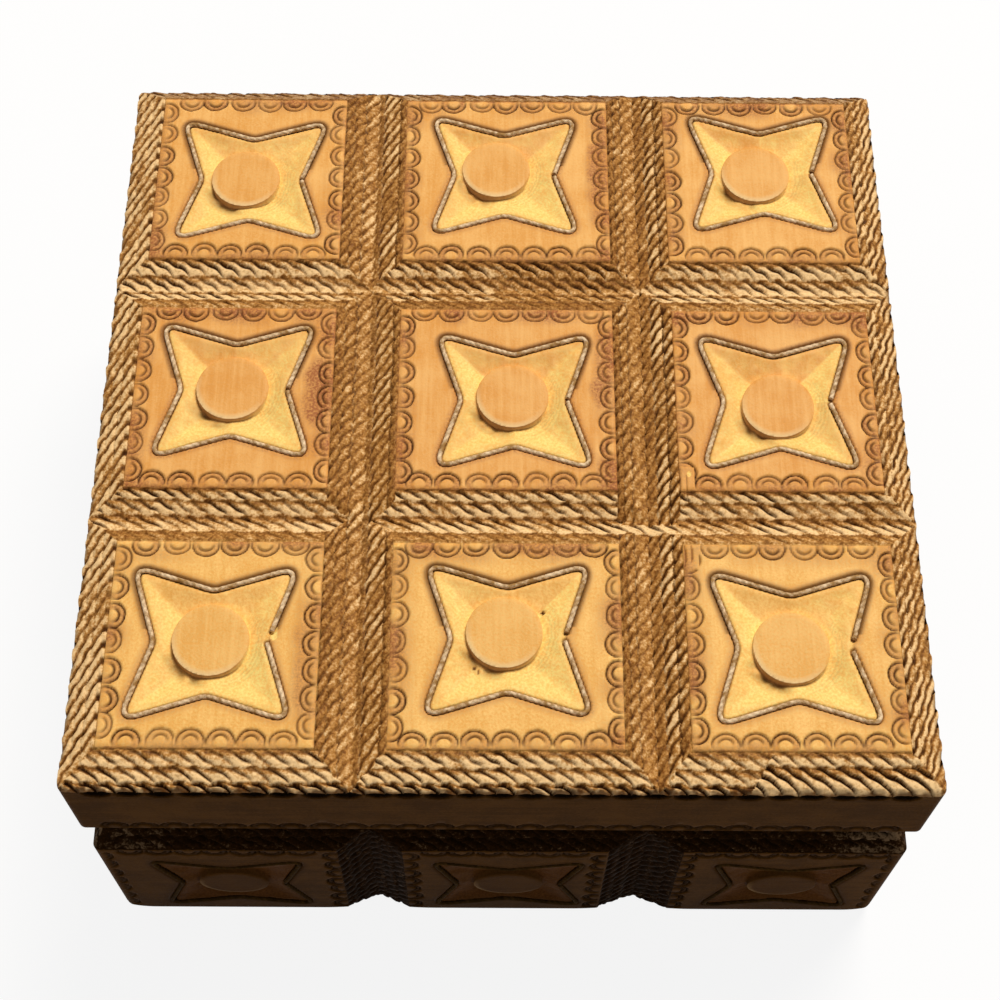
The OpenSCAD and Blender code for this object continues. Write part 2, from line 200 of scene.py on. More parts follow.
def ropes(across, along, edges, slant, seed, shingled=False, cut=1.0, seam=0.15, tone=1.0, pitch=2.72):
    """Rows of rope between these edges: how deep each place is cut in mm, how dark, partly from stain in
    the cuts and partly as painted shade, and how bright its crest is, partly worn and partly a painted
    highlight. Slant is how far a strand runs along its row in each mm across it, and pitch the distance
    between strands. Shingled strands are parted by crescents, pressed in with a gouge, and overlap. The
    others lie side by side and bend like an S. Cut tells how strongly each row is marked, seam how dark its
    starting edge is, with painted shade, and tone how brightly the crests are worn and painted lit. Narrow
    rows are plain dark seams."""
    depth, dark, crest = (np.zeros_like(across) for _ in range(3))
    fine = rough(across, along, 0.42, seed + 2) + 0.6 * rough(across, along, 1.0, seed + 3)
    patchy = rough(across, along, 3.1, seed + 6)
    drift = 0.3 * rough(along, across * 0, 2.1, seed + 4)
    row_count = len(edges) - 1
    forces, tones = np.broadcast_to(cut, row_count), tone if isinstance(tone, tuple) else [tone] * row_count
    phases = [along / pitch + 0.3 * rough(along, across * 0 + 3.7 * k, 9.0, seed) + chance(k, seed)
              for k in range(row_count)]
    # The edge where a row's strands start bulges a little over each of them
    lines = [edge + drift for edge in edges]
    for number, phase in enumerate(phases):
        start = number + (slant > 0)
        lines[start] = lines[start] + 0.14 * np.sin(2 * math.pi * phase)
    for number in range(row_count):
        low, high = lines[number:number + 2]
        width = edges[number + 1] - edges[number]
        t = (across - low) / (high - low)
        inside = ((t >= 0) | (number == 0)) & ((t < 1) | (number == row_count - 1))
        t = np.clip(1 - t if slant > 0 else t, 0, 1)
        # A share for how far each strand has run along, and its slope
        if shingled:
            run, steep = t + 0.7 * t * (1 - t), 1 + 0.7 * (1 - 2 * t)
        else:
            run = t + 0.7 * (0.5 - t + np.arcsin(2 * t - 1) / math.pi)
            steep = 0.3 + 0.45 / np.sqrt(np.maximum(4 * t * (1 - t), 0.1))
        place = phases[number] - abs(slant) * width * run / pitch
        strand = np.floor(place)
        past, luck = place - strand, chance(strand, seed + number)
        force = forces[number] * (0.75 + 0.5 * luck) * (1 + 0.7 * patchy)
        # Distances from the cuts before and behind each place
        thin = pitch / np.hypot(1, slant * steep)
        before, behind = past * thin, (1 - past) * thin
        # Painted shadow and highlight: a shingled strand's dark crescent is painted wider on one side, as
        # the shadow its wall casts, and the strand is painted brighter towards the far edge of its row. A
        # strand of the other kind is painted brightest along its crest
        if shingled:
            swell = np.sin(math.pi * t ** 0.7)
            crescent = np.maximum(1 - fade(0.02, 0.12, before), 1 - fade(0.1, 0.2 + 0.55 * swell, behind))
            line = crescent * (0.25 + 0.85 * swell)
            body = 0.2 * past ** 2 + 0.18 * (1 - fade(0, 0.6, t))
            crest_highlight = fade(-0.1, 0.75, t) * (1 - 0.5 * past ** 2)
        else:
            line = np.maximum(1 - fade(0.02, 0.26, before), 1 - fade(0.02, 0.22, behind))
            body = 0.22 * (1 - np.sin(math.pi * past)) + 0.16 * (2 * t - 1) ** 2
            crest_highlight = fade(0.25, 1.05, np.sin(math.pi * past)) * (0.3 + 0.7 * luck)
        # The dark seam at a row's starting edge is partly stain and partly painted shade
        rim = 1 - fade(0.05, 0.34, t * width)
        if width < narrow_row:
            line, rim, crest_highlight = 0.4 + 0 * t, 0, 0.3
        crest_highlight = 0.4 + (crest_highlight - 0.4) * np.minimum(forces[number] + 0.1, 1)
        row_depth = line_cut * force * line + force * body + seam_cut * seam * rim + nap_cut * (fine + 0.4)
        row_dark = 0.95 * force * line + seam * rim - 0.3 * fine
        row_crest = tones[number] * (0.2 + 0.8 * crest_highlight) * (1 + 0.6 * patchy) + 0.4 * fine
        depth = np.where(inside, np.maximum(row_depth, 0), depth)
        dark = np.where(inside, np.clip(row_dark, 0, 1), dark)
        crest = np.where(inside, np.clip(row_crest, 0.15, 1), crest)
    return depth, dark, crest


# A punch mark's two arcs, as shares of its half width, and how deep its parts are cut in mm
outer_r, inner_r = 0.93, 0.5
outer_cut, inner_cut, gouge_cut, bruise = 0.42, 0.36, 0.6, 0.1


def punches(across, along, height, first, last, seed, fill=0.0):
    """A row of half-moon punch marks with their open sides on the line where across is 0. Each is an outer
    and an inner arc, with the wood between them bruised: depth, how dark, and how stained. The arcs are
    dark partly from stain in the grooves and partly as painted shade. Fill is how fully the gouge took out
    the wood inside them, and how nearly black that hollow is painted, as painted shade."""
    number = np.clip(np.round(along / punch_pitch), first, last)
    luck = chance(number, seed)
    a = (along - number * punch_pitch - 0.6 * (luck - 0.5)) / punch_half_w
    b = (across / (height * (0.92 + 0.16 * chance(number, seed + 5))) - 0.3) / 0.7
    r = np.hypot(a, b) + 0.06 * rough(across, along, 0.9, seed)
    outer = (1 - fade(0.02, 0.12, np.abs(r - outer_r))) * fade(-0.6, 0.3, b)
    inner = (1 - fade(0.02, 0.15, np.abs(r - inner_r))) * fade(-0.2, 0.4, b)
    band = fade(0.42, 0.55, r) * (1 - fade(0.88, 0.95, r))
    here = (across > -0.1) * (1.2 - 0.4 * luck)
    gouged = fill * (1 - fade(0.6, 0.95, r))
    arcs = np.maximum(outer_cut * outer, inner_cut * inner)
    depth = here * np.maximum(arcs, np.maximum(gouge_cut * gouged, bruise * band))
    dark = here * np.maximum(np.maximum(outer, 0.85 * inner), 1.2 * fill * (r < outer_r))
    return depth, np.clip(dark, 0, 1), np.clip(here * 0.5 * band, 0, 1)


def punched_frame(x, y, x0, x1, y0, y1, height, seed, sides="lrbt"):
    """Punch marks along the sides of a tile: left, right, bottom and top as they are seen"""
    middle_x, middle_y = (x0 + x1) / 2, (y0 + y1) / 2
    # The upright rows were punched first, so the level ones are shorter
    rows = {
        "l": (x - x0, y - middle_y, y1 - y0 - 2.6),
        "r": (x1 - x, y - middle_y, y1 - y0 - 2.6),
        "b": (y - y0 - 0.3, x - middle_x, x1 - x0 - 5.5),
        "t": (y1 - y, x - middle_x, x1 - x0 - 5.5),
    }
    marks = [np.zeros_like(x) for _ in range(3)]
    for number, side in enumerate(sides):
        across, along, length = rows[side]
        last = round(length / punch_pitch) - 1
        row = punches(across, along + last / 2 * punch_pitch, height, 0, last, seed + 3 * number)
        marks = [np.maximum(mark, more) for mark, more in zip(marks, row)]
    inside = (x > x0) & (x < x1) & (y > y0) & (y < y1)
    return [mark * inside for mark in marks]


def wire_run(ends):
    """Points along the middle of a wire round a star, from its right-hand notch and back to it. Ends are
    how far above and below the notch it starts and stops. The bends are drawn as short curves, wider
    round the tips than at the notches."""
    first, last = ((wire_notch + (wire_tip - wire_notch) * end / wire_tip, end) for end in ends)
    t, n = wire_tip, wire_notch
    corners = [first, (t, t), (0, n), (-t, t), (-n, 0), (-t, -t), (0, -n), (t, -t), (last[0], -last[1])]
    corners = [np.array(c) for c in corners]
    points = [corners[0]]
    for before, corner, after in zip(corners, corners[1:], corners[2:]):
        back, on = before - corner, after - corner
        reach = tip_bend if np.abs(corner).min() > 1 else notch_bend
        a, b = corner + reach * back / np.linalg.norm(back), corner + reach * on / np.linalg.norm(on)
        for share in np.linspace(0, 1, 8):
            points.append((1 - share) ** 2 * a + 2 * share * (1 - share) * corner + share ** 2 * b)
    return np.array(points + [corners[-1]])


def off_line(x, y, points):
    """Distance of each place from a line through the points, and whether the closed line goes round it"""
    nearest, inside = np.full(x.shape, 99.0), np.zeros(x.shape, bool)
    for a, b in zip(points, points[1:]):
        d = b - a
        share = np.clip(((x - a[0]) * d[0] + (y - a[1]) * d[1]) / (d @ d), 0, 1)
        nearest = np.minimum(nearest, np.hypot(x - a[0] - share * d[0], y - a[1] - share * d[1]))
    for a, b in zip(points, np.roll(points, -1, axis=0)):
        level = b[1] - a[1] if abs(b[1] - a[1]) > 1e-9 else 1e-9
        inside ^= ((a[1] > y) != (b[1] > y)) & (x < a[0] + (y - a[1]) * (b[0] - a[0]) / level)
    return nearest, inside


def draw_to_disc(x, y, disc):
    """Moves grid points close to the disc's edge onto it, so that its side is upright and its rim round.
    Points just inside stay inside, and points just outside stay outside."""
    dx, dy = x - disc[0], y - disc[1]
    r = np.hypot(dx, dy)
    off = r - disc_r
    # Up to near they are squeezed together at the edge, and up to far they spread to make up for it
    near, far, squeeze, least = 0.36, 0.9, 0.07, 0.015
    held = np.interp(np.abs(off), [0, near, far], [least, near * squeeze + least, far])
    scale = np.where(np.abs(off) < far, (disc_r + np.sign(off) * held) / np.maximum(r, 1e-6), 1.0)
    return disc[0] + dx * scale, disc[1] + dy * scale


def star(x, y, centre, disc, ends, seed):
    """A star with its disc and the cut for its wire: depth, how dark, partly painted shade, how freshly
    cut, partly painted light on the facets, and how stained
    """
    dx, dy = x - centre[0], y - centre[1]
    # Eight facets slope to one point below the disc; the knife left their creases a little soft
    a, b = np.hypot(dx, 0.5), np.hypot(dy, 0.5)
    crease = np.hypot(a - b, 0.7)
    far, near = (a + b + crease) / 2, (a + b - crease) / 2
    reach = (star_tip * far - (star_tip - star_notch) * near) / (star_tip * star_notch)
    from_disc = np.hypot(x - disc[0], y - disc[1]) - disc_r
    wire_off, inside = np.full(x.shape, 9.0), np.zeros(x.shape, bool)
    close = (np.abs(dx) < 14) & (np.abs(dy) < 14)
    wire_off[close], inside[close] = off_line(dx[close], dy[close], wire_run(ends))
    half_cut = 0.42
    on_disc = from_disc < 0
    cut = inside & (wire_off > half_cut) & ~on_disc
    fine = rough(x, y, 1.1, seed)
    hollow = star_depth * (1 - np.clip(reach, 0, 1) ** 2)
    depth = cut * (np.maximum(hollow, 0.2) + 0.16 * rough(x, y, 2.2, seed + 1) + 0.1 * fine)
    # The cutter left fine lines on the right of the disc, and a rough patch at its lower left, painted dark
    # as the disc's shadow that falls there
    bearing = np.arctan2(y - disc[1], x - disc[0])
    comb = cut * (1 - fade(1.6, 3.2, from_disc)) * fade(0.3, 0.8, np.cos(bearing + 0.3))
    lines = np.sin((from_disc + 0.3 * fine) * 2 * math.pi / 0.55)
    shadowed_patch = cut * (1 - fade(0.5, 2.6, from_disc + 0.8 * fine)) * fade(0.75, 0.97, np.cos(bearing + 2.2))
    depth = depth + 0.05 * comb * (1 + lines) + 0.25 * shadowed_patch * (1 + 2 * fine)
    # The disc's rim is worn round
    depth = depth + 0.14 * on_disc * fade(-0.5, 0.0, from_disc)
    # Painted light and shade: the facets behind the disc are painted darker, as they face away from the
    # lamp, and those ahead of it paler, as they face it. Each facet also differs a little at random
    facet = np.floor(np.arctan2(dy, dx) / (math.pi / 4))
    behind, ahead = fade(-0.5, 0.5, dy - np.abs(dx)), fade(-0.5, 0.5, -dy - np.abs(dx))
    facet_light = 0.85 - 0.5 * behind + 0.3 * ahead + 0.5 * (chance(facet, seed + 2) - 0.5)
    fresh = cut * np.clip(facet_light + 0.4 * fine, 0, 1) * (1 - 0.25 * fade(0.75, 1.0, reach)) * (1 - 0.5 * shadowed_patch)
    dark = np.maximum(0.14 * comb * (lines > 0.2), shadowed_patch * np.clip(0.42 + 0.9 * fine, 0, 1))
    in_cut = 1 - fade(half_cut - 0.06, half_cut + 0.12, wire_off)
    depth = depth * (1 - in_cut) + in_cut * np.maximum(wire_sink, depth)
    # Painted shade: the wire's cut is darkened, and more widely above the wire outside the star, on the
    # side away from the lamp
    dark = np.maximum(dark, 0.6 * (1 - fade(half_cut, half_cut + 0.2, wire_off)))
    dark = np.maximum(dark, ~inside * (dy > 2) * 0.7 * (1 - fade(half_cut + 0.1, half_cut + 0.9, wire_off)))
    stain = np.maximum(0.5 * (1 - fade(0.5, 1.9, wire_off)), on_disc * 0.15)
    return depth, np.clip(dark, 0, 1), np.clip(fresh * (wire_off > half_cut), 0, 1), stain * ~cut


def stretches(start, channels, end):
    """The stretches of wood that channels leave standing between two ends"""
    edges = [start]
    for middle, width in channels:
        edges += [middle - width / 2, middle + width / 2]
    edges.append(end)
    return list(zip(edges[::2], edges[1::2]))


def side_carving(s, z, side, star_places=()):
    """The carving of one side, at places along it and at heights above the table: its depth, and its wear
    and painted light as four shares: hollow and dark, partly painted shade; freshly cut; the crest of a
    rope, worn and painted lit; and bruised or stained"""
    seed = 11 * side
    upright = fade(outline_half - 0.9, outline_half - 1.6, np.abs(s))
    low, high = seam_h - groove_slope_h, seam_h + groove_slope_h
    base = groove_depth * np.clip(1 - np.abs(z - seam_h) / groove_slope_h, 0, 1)
    # Painted glints: the crests at the ends of the groove are painted brighter, where more light falls in
    worn_and_lit = 0.35 + 0.4 * fade(46, 60, -s) + 0.6 * fade(48, 57, s)
    rows = np.linspace(low, high, 5)
    groove_ropes = ropes(z, s, rows, 1.5, seed + 1, shingled=True, seam=0.5, tone=(worn_and_lit,) * 4)
    relief, dark, rope = (value * (base > 0) for value in groove_ropes)
    fresh, stain = np.zeros_like(s), np.zeros_like(s)
    for number, (middle, width) in enumerate(side_channels):
        share = np.hypot(s - middle, 0.7) / (width / 2)
        channel = side_channel_depth * np.clip(1 - share, 0, 1) * (z < seam_h)
        deeper = channel > base
        rows = np.linspace(middle - width / 2, middle + width / 2, 7)
        here = ropes(s, z, rows, -1.2, seed + 20 + 5 * number, shingled=True, cut=0.8, tone=0.35)
        relief, dark, rope = (np.where(deeper, *pair) for pair in zip(here, (relief, dark, rope)))
        base = np.maximum(base, channel)
    # Punch marks round the three cells, and along both edges of the lid's band. The marks under the top
    # edge are gouged out and painted nearly black inside, as painted shade
    marks, mark_height = [], 2.6
    for number, (x0, x1) in enumerate(stretches(-half_w, side_channels, half_w)):
        marks.append(punched_frame(s, z, x0, x1, 0.0, low, mark_height, seed + 40 + 10 * number, "lrt"))
    for across, fill in ((z - high, 0.0), (edge_h - z, 0.7)):
        row = punches(across, s, mark_height, -13, 13, seed + 80, fill)
        marks.append([mark * (z > high) for mark in row])
    for depth, mark_dark, mark_stain in marks:
        relief, stain = np.maximum(relief, depth), np.maximum(stain, mark_stain)
        dark = np.maximum(dark, np.minimum(1.3 * mark_dark + 0.6 * mark_stain, 1))
    # Painted shade: the band is darkened nearly to black along its top edge, under the rounded edge above
    # it
    dark = np.maximum(dark, 0.85 * (1 - fade(0.3, 0.9, edge_h - z + 0.6 * rough(s, z, 1.4, seed + 90))))
    # The stars' marks are painted faint, in the same painted shade as the face, and their discs a little
    # lighter, as a faint painted highlight
    for centre in star_places:
        depth, star_dark, star_fresh, star_stain = star(s, z, centre, centre, side_wire_ends, seed)
        on_disc = np.hypot(s - centre[0], z - centre[1]) < disc_r
        relief, dark = np.maximum(relief, depth), np.maximum(dark, 0.12 * star_dark)
        fresh = np.maximum(np.maximum(fresh, star_fresh), 0.15 * on_disc)
        stain = np.maximum(stain, star_stain)
    base = base + foot_r * (1 - np.sqrt(1 - np.clip(1 - z / foot_r, 0, 1) ** 2))
    wear = np.stack([dark * upright, fresh, rope, stain * upright], axis=1)
    return base + relief * upright, wear


def spaced(stops, steps):
    """Places of grid lines: each stretch between two stops is divided evenly, in steps up to its size"""
    parts = []
    for start, end, step in zip(stops, stops[1:], steps):
        parts.append(np.linspace(start, end, math.ceil(abs(end - start) / step), endpoint=False))
    return np.concatenate(parts + [[stops[-1]]])


def carving_blank(name, columns, rows, layers, smooth_layers=False):
    """The mesh of a closed blank, with a grid of these columns and rows on its face and this number of
    layers down to its back, and for each vertex its column's place, its row's place and its layer"""
    blank = bmesh.new()
    bmesh.ops.create_grid(blank, x_segments=len(columns) - 1, y_segments=len(rows) - 1, size=0.5)
    bmesh.ops.translate(blank, verts=blank.verts, vec=(0.5, 0.5, 0))
    bmesh.ops.scale(blank, verts=blank.verts, vec=(len(columns) - 1, len(rows) - 1, 1))
    for face in blank.faces:
        face.smooth = True
    rim = [e for e in blank.edges if e.is_boundary]
    for edge in rim:
        edge.smooth = False
    for layer in range(layers):
        made = bmesh.ops.extrude_edge_only(blank, edges=rim)["geom"]
        made_verts = [g for g in made if isinstance(g, bmesh.types.BMVert)]
        bmesh.ops.translate(blank, verts=made_verts, vec=(0, 0, -1))
        for face in (g for g in made if isinstance(g, bmesh.types.BMFace)):
            face.smooth = smooth_layers
            face.material_index = 1
        rim = [e for e in made if isinstance(e, bmesh.types.BMEdge) and e.is_boundary]
    for edge in rim:
        edge.smooth = False
    for face in bmesh.ops.contextual_create(blank, geom=rim)["faces"]:
        face.material_index = 2
    bmesh.ops.recalc_face_normals(blank, faces=blank.faces)
    mesh = bpy.data.meshes.new(name)
    blank.to_mesh(mesh)
    numbers = np.zeros(len(mesh.vertices) * 3)
    mesh.vertices.foreach_get("co", numbers)
    numbers = np.round(numbers.reshape(-1, 3)).astype(int)
    return mesh, columns[numbers[:, 0]], rows[numbers[:, 1]], -numbers[:, 2]


def add_piece(name, mesh, materials, body, node):
    """Puts a mesh into the scene as a piece that rides a body, in place of a CAD node"""
    for material in materials:
        mesh.materials.append(material)
    piece = bpy.data.objects.new(name, mesh)
    bpy.context.scene.collection.objects.link(piece)
    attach(piece, body)
    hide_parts(node)


def place_carving(mesh, places, wear, discs):
    """Puts a blank's vertices at their places in mm, and stores their wear. Discs are the places as seen
    from the middle of the nearest disc."""
    mesh.vertices.foreach_set("co", (places * mm).ravel())
    paint = mesh.color_attributes.new("wear", "FLOAT_COLOR", "POINT")
    paint.data.foreach_set("color", wear.ravel())
    offsets = mesh.attributes.new("from_disc", "FLOAT_VECTOR", "POINT")
    offsets.data.foreach_set("vector", np.stack([*discs, np.zeros_like(discs[0])], axis=1).ravel())
    mesh.update()


def carved_wood(name, tones, grain_mm, gloss):
    """Stained and waxed lime wood, carved through to the pale wood below: warm and even on the faces,
    nearly black in the hollows, partly from stain and wax gathered there and partly as painted shade, and
    gold on the crests of the ropes, partly worn and partly a painted highlight. The wear attribute holds
    hollows with their painted shade, fresh cuts, crests with their painted highlights, and stains."""
    material, tree = new_tree(name)
    place = add(tree, "ShaderNodeTexCoord").outputs["Object"]
    paint = add(tree, "ShaderNodeAttribute", attribute_name="wear")
    wear = add(tree, "ShaderNodeSeparateColor", {0: paint.outputs["Color"]})
    hollow, fresh, crest, stain = wear.outputs[0], wear.outputs[1], wear.outputs[2], paint.outputs["Alpha"]
    stretched = add(tree, "ShaderNodeMapping", {"Vector": place, "Scale": [1 / (g * mm) for g in grain_mm]})
    # Grain, clouds of stain 7 mm wide, and specks of 0.4 mm where the nap stands up
    cloud_size, speck_size = 7 * mm, 0.4 * mm
    grain, clouds, specks = (
        add(tree, "ShaderNodeTexNoise", {"Vector": way, "Scale": scale, "Detail": detail, "Roughness": 0.6})
        for way, scale, detail in (
            (stretched.outputs[0], 1.0, 4.0), (place, 1 / cloud_size, 4.0), (place, 1 / speck_size, 3.0))
    )
    spots = add(tree, "ShaderNodeMapRange", {0: specks.outputs[0], "From Min": 0.36, "From Max": 0.64})
    light = 0.0
    for pattern, weight in ((grain, 0.3), (clouds, 0.4), (specks, 0.3)):
        light = add(tree, "ShaderNodeMath", {0: pattern.outputs[0], 1: weight, 2: light},
                    operation="MULTIPLY_ADD").outputs[0]
    light = add(tree, "ShaderNodeMapRange", {0: light, "From Min": 0.42, "From Max": 0.58})
    blotch = add(tree, "ShaderNodeMath", {0: clouds.outputs[0], 1: spots.outputs[0]}, operation="ADD")
    blotch = add(tree, "ShaderNodeMath", {0: blotch.outputs[0], 1: stain},
                 operation="MULTIPLY", use_clamp=True)
    worn_and_lit = add(tree, "ShaderNodeMath", {0: spots.outputs[0], 1: 0.5, 2: crest}, operation="MULTIPLY_ADD")
    worn_and_lit = add(tree, "ShaderNodeMapRange", {0: worn_and_lit.outputs[0], "From Min": 0.25, "From Max": 1.25})
    lower = add(tree, "ShaderNodeMapRange", {0: worn_and_lit.outputs[0], "From Max": 0.5})
    upper = add(tree, "ShaderNodeMapRange", {0: worn_and_lit.outputs[0], "From Min": 0.5})
    is_rope = add(tree, "ShaderNodeMapRange", {0: crest, "From Min": 0.05, "From Max": 0.15})
    # Painted shade: the disc's side is darkened at its front, a little to the left, and so is the cut just
    # in front of it, where the disc's shadow falls. Above it the rim is pale, partly worn and partly a
    # painted highlight on its front half. Distances are in mm
    offset = add(tree, "ShaderNodeAttribute", attribute_name="from_disc").outputs["Vector"]
    away = add(tree, "ShaderNodeVectorMath", {0: offset}, operation="LENGTH").outputs["Value"]
    ahead = add(tree, "ShaderNodeVectorMath", {0: offset, 1: (-0.42, -0.91, 0.0)}, operation="DOT_PRODUCT")
    ahead = add(tree, "ShaderNodeMath", {0: ahead.outputs["Value"], 1: away}, operation="DIVIDE")
    ahead = add(tree, "ShaderNodeMapRange", {0: ahead.outputs[0], "From Min": 0.0, "From Max": 0.8})
    wall_start = disc_r - 0.05
    on_wall = add(tree, "ShaderNodeMapRange", {
        0: away, "From Min": wall_start - 0.01, "From Max": wall_start})
    rim = add(tree, "ShaderNodeMapRange", {
        0: away, "From Min": disc_r - 1.0, "From Max": disc_r - 0.2, "To Max": 0.7})
    rim = add(tree, "ShaderNodeMath", {0: rim.outputs[0], 1: ahead.outputs[0]}, operation="MULTIPLY")
    wall = add(tree, "ShaderNodeMapRange", {
        0: away, "From Min": disc_r + 0.1, "From Max": disc_r + 0.5, "To Min": 0.8, "To Max": 0.0})
    wall = add(tree, "ShaderNodeMath", {0: wall.outputs[0], 1: ahead.outputs[0]}, operation="MULTIPLY")
    # Each row mixes two tones, which may be mixed ones: the new tone, the share of the second, and the two
    mixed = {finish: colour(hex_value) for finish, hex_value in tones.items()}
    for finish, share, tone, toward in (
        ("face", light.outputs[0], "face dark", "face"),
        ("face", blotch.outputs[0], "face", "stain"),
        ("cut", spots.outputs[0], "cut dark", "cut"),
        ("rope", lower.outputs[0], "rope", "rope mid"),
        ("rope", upper.outputs[0], "rope", "crest"),
        ("wood", is_rope.outputs[0], "face", "rope"),
        ("wood", fresh, "wood", "cut"),
        ("wood", hollow, "wood", "hollow"),
        # The rim tone is partly a painted highlight, and the wall tone is painted shade and shadow
        ("rim", rim.outputs[0], "wood", "rim"),
        ("wall", wall.outputs[0], "wood", "wall"),
        ("wood", on_wall.outputs[0], "rim", "wall"),
    ):
        mix = add(tree, "ShaderNodeMix", {0: share, 6: mixed[tone], 7: mixed[toward]}, data_type="RGBA")
        mixed[finish] = mix.outputs[2]
    relief = add(tree, "ShaderNodeBump", {
        "Height": specks.outputs[0], "Distance": 0.1 * mm, "Strength": 0.5})
    shader = add(tree, "ShaderNodeBsdfPrincipled", {
        "Base Color": mixed["wood"], "Roughness": 0.42, "Specular IOR Level": gloss,
        "Normal": relief.outputs[0]})
    add(tree, "ShaderNodeOutputMaterial", {"Surface": shader.outputs[0]})
    return material


# The sides are painted darker than the lid: partly a darker stain and partly painted shade, matched to the
# front, which lies in shade. Their hollow tone is partly painted shade, their crest tone gives painted
# glints, their rim tone a painted highlight and their wall tone painted shade. The grain is 0.8 mm wide and
# 14 mm long, and runs along each board, along x or along y
across_grain, along_grain = 0.8, 14.0
grains = {
    "x": (along_grain, across_grain, across_grain),
    "y": (across_grain, along_grain, across_grain),
}
shaded_side_tones = {
    "face": "#5F3E1A", "face dark": "#4C3012", "stain": "#3C2410", "cut": "#6A4220", "cut dark": "#543216",
    "rope": "#1E1104", "rope mid": "#311C08", "crest": "#7A6248", "hollow": "#140A02",
    "rim": "#A88458", "wall": "#241408",
}
shaded_side_woods = [
    carved_wood(f"stained_and_shaded_wood_{way}", shaded_side_tones, grain, 0.002) for way, grain in grains.items()]


def sanded_wood(name, light, dark, grain_mm):
    """The same wood sanded and left bare, inside and below: pale and dull, with a fine straight grain"""
    material, tree = new_tree(name)
    place = add(tree, "ShaderNodeTexCoord").outputs["Object"]
    stretched = add(tree, "ShaderNodeMapping", {"Vector": place, "Scale": [1 / (g * mm) for g in grain_mm]})
    grain = add(tree, "ShaderNodeTexNoise", {"Vector": stretched.outputs[0], "Scale": 1.0, "Detail": 4.0})
    tone = add(tree, "ShaderNodeMapRange", {0: grain.outputs[0], "From Min": 0.35, "From Max": 0.65})
    wood = add(tree, "ShaderNodeMix", {0: tone.outputs[0], 6: dark, 7: light}, data_type="RGBA")
    shader = add(tree, "ShaderNodeBsdfPrincipled",
                 {"Base Color": wood.outputs[2], "Roughness": 0.6, "Specular IOR Level": 0.3})
    add(tree, "ShaderNodeOutputMaterial", {"Surface": shader.outputs[0]})
    return material


bare_woods = [
    sanded_wood(f"bare_sanded_wood_{way}", colour("#E3BE82"), colour("#C99C5E"), grain)
    for way, grain in grains.items()]
side_star_x, side_star_h = (-43.6, 1.4, 46.4), 15.1
# How far the bottom edge is worn up beside a channel, how far along, and how high the wear is drawn out
channel_foot_h, channel_foot_w, foot_reach = 0.6, 4.5, 9.0
side_columns = spaced([-outline_half, -flat_half, flat_half, outline_half], [0.2, 0.3, 0.2])
# The hinges' leaves lie in recesses of the back wall and the back rim, with a little room round them
recess_x, recess_half_w, recess_drop, recess_end = 38.0, 9.05, 1.0, 55.35
back_stops = [-outline_half, -flat_half]
for middle in (-recess_x, recess_x):
    for edge in (middle - recess_half_w, middle + recess_half_w):
        back_stops += [edge - 0.01, edge] if edge < middle else [edge, edge + 0.01]
back_columns = spaced(back_stops + [flat_half, outline_half], [0.2] + [0.3, 1.0] * 4 + [0.3, 0.2])


def turned(x, y, side):
    """Places on the front, turned round the box to the same places on another side"""
    angle = math.pi / 2 * side
    return x * math.cos(angle) - y * math.sin(angle), x * math.sin(angle) + y * math.cos(angle)


